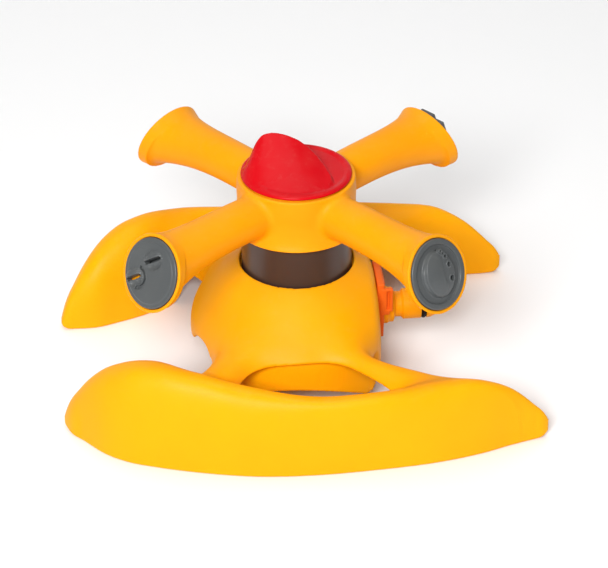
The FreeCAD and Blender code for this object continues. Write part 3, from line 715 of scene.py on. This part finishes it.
clip = {
    "thickness": 3.9,
    "halfWidth": 13.0,
    "rise": 20.5,
    "drop": 13.5,
    "fork": 7.4,
    "gripStand": 4.6,
    "step": 0.3,
}


def buildClip():
    low = (41.2, -14.0, 19.4)
    x, y, z = gridOf(low, (52.0, 14.0, 56.0), clip["step"])
    start = inlet["flat"] + 0.1
    end = start + clip["thickness"]
    middle = inlet["height"]
    top, foot = middle + clip["rise"], middle - clip["drop"]
    plate = roundedBox(x, y, z, ((start + end) / 2, 0, (top + foot) / 2),
                       ((end - start) / 2, clip["halfWidth"], (top - foot) / 2), 0.7)
    taper = (np.abs(y) - clip["halfWidth"]) + np.maximum(middle - 4.0 - z, 0) * 0.16
    plate = smoothCut(plate, -taper, 1.0)
    neck = np.sqrt(y * y + (z - middle) ** 2) - clip["fork"]
    fork = np.maximum(np.abs(y) - clip["fork"], z - middle)
    plate = smoothCut(plate, np.minimum(neck, fork), 0.8)
    outer = -clip["halfWidth"]
    grip = roundedBox(x, y, z, (end + clip["gripStand"] / 2 - 1.0, outer + 1.25, middle + 10.4),
                      (clip["gripStand"] / 2 + 1.0, 1.25, 7.0), 0.5)
    slot = roundedBox(x, y, z, (end + 2.1, outer - 0.4, middle + 10.4), (0.8, 2.1, 5.6), 0.4)
    barb = roundedBox(x, y, z, (end + 1.2, outer + 1.2, middle + 2.6), (1.8, 1.1, 1.2), 0.4)
    body = smoothUnion(plate, smoothUnion(grip, barb, 0.8), 0.8)
    rib = roundedBox(x, y, z, (end, 0, top - 2.2), (0.7, 9.0, 0.8), 0.3)
    body = smoothCut(smoothUnion(body, rib, 0.5), slot, 0.4)
    return meshFromField("inletClip", body, low, clip["step"])


inletClip = buildClip()


# effects that several materials share, as node groups

def newGroup(name, inputs, outputs):
    group = bpy.data.node_groups.new(name, "ShaderNodeTree")
    for label, kind, value in inputs:
        socket = group.interface.new_socket(name=label, in_out="INPUT", socket_type=kind)
        if value is not None:
            socket.default_value = value
    for label, kind in outputs:
        group.interface.new_socket(name=label, in_out="OUTPUT", socket_type=kind)
    start = group.nodes.new("NodeGroupInput")
    end = group.nodes.new("NodeGroupOutput")
    return group, start, end


def noiseNode(tree, links, vector, scale, detail=3.0, roughness=0.5):
    node = tree.nodes.new("ShaderNodeTexNoise")
    node.inputs["Detail"].default_value = detail
    node.inputs["Roughness"].default_value = roughness
    links.new(vector, node.inputs["Vector"])
    if isinstance(scale, (int, float)):
        node.inputs["Scale"].default_value = scale
    else:
        links.new(scale, node.inputs["Scale"])
    return node.outputs["Fac"]


def mathNode(tree, links, kind, a, b=None, clamp=False):
    node = tree.nodes.new("ShaderNodeMath")
    node.operation = kind
    node.use_clamp = clamp
    for socket, value in zip(node.inputs, (a, b)):
        if value is None:
            continue
        if isinstance(value, (int, float)):
            socket.default_value = value
        else:
            links.new(value, socket)
    return node.outputs[0]


def rangeNode(tree, links, value, low, high, outLow=0.0, outHigh=1.0):
    node = tree.nodes.new("ShaderNodeMapRange")
    links.new(value, node.inputs["Value"])
    for label, v in (("From Min", low), ("From Max", high), ("To Min", outLow), ("To Max", outHigh)):
        node.inputs[label].default_value = v
    return node.outputs["Result"]


def buildMouldSkin():  # fine grain and slow flow of a moulding, as a height and a tone
    group, start, end = newGroup(
        "mouldSkin",
        [("Vector", "NodeSocketVector", None), ("Grain Scale", "NodeSocketFloat", 2600.0),
         ("Flow Scale", "NodeSocketFloat", 22.0), ("Grain Depth", "NodeSocketFloat", 0.5),
         ("Flow Depth", "NodeSocketFloat", 0.5)],
        [("Height", "NodeSocketFloat"), ("Tone", "NodeSocketFloat")],
    )
    links = group.links
    grain = noiseNode(group, links, start.outputs["Vector"], start.outputs["Grain Scale"], 2.0, 0.6)
    flow = noiseNode(group, links, start.outputs["Vector"], start.outputs["Flow Scale"], 3.0, 0.45)
    grainPart = mathNode(group, links, "MULTIPLY", grain, start.outputs["Grain Depth"])
    flowPart = mathNode(group, links, "MULTIPLY", flow, start.outputs["Flow Depth"])
    links.new(mathNode(group, links, "ADD", grainPart, flowPart), end.inputs["Height"])
    links.new(flow, end.inputs["Tone"])
    return group


def buildEdgeWear():  # rubbed edges, patchy along their length
    group, start, end = newGroup(
        "edgeWear",
        [("Vector", "NodeSocketVector", None), ("Sharpness", "NodeSocketFloat", 0.53),
         ("Amount", "NodeSocketFloat", 0.5)],
        [("Mask", "NodeSocketFloat")],
    )
    links = group.links
    geometry = group.nodes.new("ShaderNodeNewGeometry")
    above = mathNode(group, links, "SUBTRACT", geometry.outputs["Pointiness"], start.outputs["Sharpness"])
    edge = mathNode(group, links, "MULTIPLY", above, 14.0, True)
    patch = noiseNode(group, links, start.outputs["Vector"], 140.0, 4.0, 0.6)
    patch = rangeNode(group, links, patch, 0.42, 0.62)
    both = mathNode(group, links, "MULTIPLY", edge, patch)
    links.new(mathNode(group, links, "MULTIPLY", both, start.outputs["Amount"], True), end.inputs["Mask"])
    return group


def buildDustFilm():  # a thin film of dried water and dust on faces that look up
    group, start, end = newGroup(
        "dustFilm",
        [("Vector", "NodeSocketVector", None), ("Spot Scale", "NodeSocketFloat", 260.0),
         ("Amount", "NodeSocketFloat", 0.3)],
        [("Mask", "NodeSocketFloat")],
    )
    links = group.links
    geometry = group.nodes.new("ShaderNodeNewGeometry")
    split = group.nodes.new("ShaderNodeSeparateXYZ")
    links.new(geometry.outputs["Normal"], split.inputs[0])
    upward = rangeNode(group, links, split.outputs["Z"], 0.1, 1.0)
    cloud = noiseNode(group, links, start.outputs["Vector"], 34.0, 5.0, 0.6)
    cloud = rangeNode(group, links, cloud, 0.4, 0.7)
    spots = noiseNode(group, links, start.outputs["Vector"], start.outputs["Spot Scale"], 2.0, 0.5)
    spots = rangeNode(group, links, spots, 0.55, 0.7)
    mixed = mathNode(group, links, "ADD", mathNode(group, links, "MULTIPLY", cloud, 0.6),
                     mathNode(group, links, "MULTIPLY", spots, 0.4))
    masked = mathNode(group, links, "MULTIPLY", upward, mixed)
    links.new(mathNode(group, links, "MULTIPLY", masked, start.outputs["Amount"], True), end.inputs["Mask"])
    return group


print("materials")
mouldSkin = buildMouldSkin()
edgeWear = buildEdgeWear()
dustFilm = buildDustFilm()


# materials

def tint(red, green, blue):  # a screen colour, 0 to 255, as the linear colour that nodes want
    values = [c / 255 for c in (red, green, blue)]
    return [v / 12.92 if v <= 0.04045 else ((v + 0.055) / 1.055) ** 2.4 for v in values] + [1.0]


def placeGroup(tree, group, vector, **values):
    node = tree.nodes.new("ShaderNodeGroup")
    node.node_tree = group
    tree.links.new(vector, node.inputs["Vector"])
    for label, value in values.items():
        node.inputs[label.replace("_", " ")].default_value = value
    return node


def blendColour(tree, fac, a, b):
    node = tree.nodes.new("ShaderNodeMix")
    node.data_type = "RGBA"
    tree.links.new(fac, node.inputs["Factor"])
    for socket, value in zip((node.inputs[6], node.inputs[7]), (a, b)):
        if hasattr(value, "is_linked"):
            tree.links.new(value, socket)
        else:
            socket.default_value = value
    return node.outputs[2]


def plasticMaterial(name, look):
    material = bpy.data.materials.new(name)
    material.use_nodes = True
    tree = material.node_tree
    links = tree.links
    shader = tree.nodes["Principled BSDF"]
    place = tree.nodes.new("ShaderNodeTexCoord").outputs["Object"]
    skin = placeGroup(tree, mouldSkin, place, Grain_Scale=look["grain"], Flow_Scale=look["flow"],
                      Grain_Depth=look["grainDepth"], Flow_Depth=look["flowDepth"])
    wear = placeGroup(tree, edgeWear, place, Sharpness=look["sharp"], Amount=look["wear"])
    dust = placeGroup(tree, dustFilm, place, Spot_Scale=look["spots"], Amount=look["dust"])
    tone = rangeNode(tree, links, skin.outputs["Tone"], 0.3, 0.7)
    colour = blendColour(tree, tone, look["deep"], look["colour"])
    colour = blendColour(tree, wear.outputs["Mask"], colour, look["rubbed"])
    colour = blendColour(tree, dust.outputs["Mask"], colour, look["dustColour"])
    links.new(colour, shader.inputs["Base Color"])
    rough = rangeNode(tree, links, skin.outputs["Tone"], 0.3, 0.7, look["rough"][0], look["rough"][1])
    for mask, share in ((dust.outputs["Mask"], 0.5), (wear.outputs["Mask"], 0.2)):
        rough = mathNode(tree, links, "ADD", rough, mathNode(tree, links, "MULTIPLY", mask, share), True)
    links.new(rough, shader.inputs["Roughness"])
    bump = tree.nodes.new("ShaderNodeBump")
    bump.inputs["Strength"].default_value = look["bump"]
    bump.inputs["Distance"].default_value = 0.0004
    links.new(skin.outputs["Height"], bump.inputs["Height"])
    links.new(bump.outputs["Normal"], shader.inputs["Normal"])
    shader.inputs["IOR"].default_value = 1.49
    shader.inputs["Specular IOR Level"].default_value = look.get("gloss", 0.1)
    shader.inputs["Coat Weight"].default_value = look.get("coat", 0.0)
    shader.inputs["Coat Roughness"].default_value = 0.12
    shader.inputs["Subsurface Weight"].default_value = look.get("glow", 0.0)
    shader.inputs["Subsurface Radius"].default_value = (1.0, 0.45, 0.12)
    shader.inputs["Subsurface Scale"].default_value = 0.004
    shader.inputs["Metallic"].default_value = look.get("metal", 0.0)
    return material


plastic = {
    "grain": 2400.0, "flow": 24.0, "grainDepth": 0.25, "flowDepth": 0.35, "sharp": 0.54, "wear": 0.3,
    "spots": 300.0, "dust": 0.03, "dustColour": tint(235, 225, 200), "rough": (0.46, 0.38), "bump": 0.12,
}
yellowPlastic = plasticMaterial("yellowPlastic", {
    **plastic, "colour": tint(250, 171, 4), "deep": tint(248, 166, 4), "rubbed": tint(252, 186, 40),
    "glow": 0.15,
})
amberPlastic = plasticMaterial("amberPlastic", {
    **plastic, "colour": tint(244, 158, 8), "deep": tint(242, 153, 7), "rubbed": tint(250, 178, 40),
    "glow": 0.15,
})
# painted shade: the clip's orange is partly its own colour and partly the yellow plastic's deep,
# interreflected shade painted into its colour
orangePaintedShadePlastic = plasticMaterial("orangePaintedShadePlastic", {
    **plastic, "colour": tint(240, 112, 30), "deep": tint(225, 96, 24), "rubbed": tint(250, 150, 80),
})
redPlastic = plasticMaterial("redPlastic", {
    **plastic, "colour": tint(204, 6, 20), "deep": tint(196, 5, 19), "rubbed": tint(226, 50, 50),
    "rough": (0.3, 0.22),
})
darkPlastic = plasticMaterial("darkPlastic", {
    **plastic, "colour": tint(70, 52, 43), "deep": tint(60, 45, 38), "rubbed": tint(110, 96, 86),
    "rough": (0.34, 0.28), "dust": 0.05, "gloss": 0.35,
})
headPlastic = plasticMaterial("headPlastic", {
    **plastic, "colour": tint(82, 85, 86), "deep": tint(74, 77, 78), "rubbed": tint(120, 123, 124),
    "rough": (0.4, 0.32), "dust": 0.05, "wear": 0.5, "gloss": 0.4,
})
greyPlastic = plasticMaterial("greyPlastic", {
    **plastic, "colour": tint(120, 122, 120), "deep": tint(104, 106, 104), "rubbed": tint(160, 160, 158),
})
whitePlastic = plasticMaterial("whitePlastic", {
    **plastic, "colour": tint(226, 224, 216), "deep": tint(212, 210, 202), "rubbed": tint(240, 240, 236),
})
sealRubber = plasticMaterial("sealRubber", {
    **plastic, "colour": tint(34, 26, 24), "deep": tint(26, 20, 19), "rubbed": tint(70, 62, 58),
    "rough": (0.6, 0.5), "grain": 1400.0, "bump": 0.3,
})
screwSteel = plasticMaterial("screwSteel", {
    **plastic, "colour": tint(190, 190, 186), "deep": tint(160, 160, 158), "rubbed": tint(225, 225, 222),
    "rough": (0.4, 0.28), "metal": 1.0, "dust": 0.2,
})


# every piece rides on its body and takes the finish given to it; the CAD parts still shown take their slot's
# finish

finishPiece(baseShell, "base", "yellow_plastic", yellowPlastic, "base_shell")
finishPiece(rotorShell, "rotor", "yellow_plastic", amberPlastic, "rotor_body")
finishPiece(twinSlotHead, "rotor", "head_plastic", headPlastic, "twin_slot_head")
finishPiece(showerHead, "rotor", "head_plastic", headPlastic, "shower_head")
finishPiece(fanHead, "rotor", "head_plastic", headPlastic, "fan_head")
finishPiece(jetHead, "rotor", "head_plastic", headPlastic, "jet_head")
finishPiece(headSealRings, "rotor", "seal_rubber", sealRubber, "head_seals")
finishPiece(selectorDial, "selector", "red_plastic", redPlastic, "selector_dial")
finishPiece(collar, "base", "dark_plastic", darkPlastic, "base_collar")
finishPiece(inletSpigot, "base", "amber_plastic", amberPlastic, "inlet_spigot")
finishPiece(inletClip, "base", "orange_plastic", orangePaintedShadePlastic, "inlet_clip")

slotLooks = {
    "yellow_plastic": yellowPlastic, "amber_plastic": amberPlastic, "orange_plastic": orangePaintedShadePlastic,
    "red_plastic": redPlastic, "dark_plastic": darkPlastic, "head_plastic": headPlastic,
    "grey_plastic": greyPlastic, "white_plastic": whitePlastic, "seal_rubber": sealRubber,
    "screw_steel": screwSteel,
}
for subpart in frame["record"]["subparts"]:
    node = frame["nodes"][subpart["node"]]
    if not node.hide_render:
        node.data.materials.clear()
        node.data.materials.append(slotLooks[subpart["material_slot"]])


# floor, lights and camera

def buildFloor():
    bm = bmesh.new()
    reach, back, rise, bend, steps = 3.0, 1.6, 2.2, 0.8, 16
    rows = []
    profile = [(-reach, 0.0), (back - bend, 0.0)]
    for k in range(1, steps + 1):
        angle = k / steps * math.pi / 2
        profile.append((back - bend + bend * math.sin(angle), bend - bend * math.cos(angle)))
    profile.append((back, rise))
    for y, z in profile:
        rows.append([bm.verts.new((x, y, z)) for x in (-reach, reach)])
    for a, b in zip(rows, rows[1:]):
        bm.faces.new((a[0], a[1], b[1], b[0]))
    floor = smoothShading(pieceFromBmesh("floor", bm))
    material = bpy.data.materials.new("paleFloor")
    material.use_nodes = True
    shader = material.node_tree.nodes["Principled BSDF"]
    shader.inputs["Base Color"].default_value = (0.93, 0.93, 0.93, 1)
    shader.inputs["Roughness"].default_value = 0.8
    floor.data.materials.append(material)
    return floor


def areaLight(name, place, target, size, power):
    light = bpy.data.lights.new(name, "AREA")
    light.shape = "RECTANGLE"
    light.size, light.size_y = size
    light.energy = power
    lamp = bpy.data.objects.new(name, light)
    scene.collection.objects.link(lamp)
    lamp.location = place
    lamp.rotation_euler = (Vector(target) - Vector(place)).to_track_quat("-Z", "Y").to_euler()
    return lamp


print("floor, lights and camera")
buildFloor()
world = bpy.data.worlds.new("studio")
scene.world = world
world.use_nodes = True
world.node_tree.nodes["Background"].inputs["Color"].default_value = (1, 1, 1, 1)
world.node_tree.nodes["Background"].inputs["Strength"].default_value = 0.22
areaLight("keyLight", (-0.5, -1.6, 1.25), (0, 0, 0.05), (0.8, 0.6), 44.0)
areaLight("topLight", (0.0, 0.25, 1.7), (0, 0, 0.05), (1.2, 1.2), 10.0)

view = {
    "azimuth": -5.3,
    "elevation": 32.05,
    "distance": 1.477,
    "right": 0.0039,
    "rise": 0.0423,
    "lens": 159.9,
    "roll": -0.15,
}


def buildCamera():
    a, e = math.radians(view["azimuth"]), math.radians(view["elevation"])
    right = Vector((math.cos(a), math.sin(a), 0))
    towards = Vector((math.sin(a) * math.cos(e), -math.cos(a) * math.cos(e), math.sin(e)))
    rise = towards.cross(right)
    data = bpy.data.cameras.new("camera")
    data.lens = view["lens"]
    data.sensor_width = 36.0
    data.clip_start, data.clip_end = 0.01, 20.0
    camera = bpy.data.objects.new("camera", data)
    scene.collection.objects.link(camera)
    camera.location = towards * view["distance"] + right * view["right"] + rise * view["rise"]
    level = (-towards).to_track_quat("-Z", "Y")
    camera.rotation_euler = (level @ Quaternion((0, 0, 1), math.radians(view["roll"]))).to_euler()
    scene.camera = camera


buildCamera()
scene.view_settings.view_transform = "Standard"
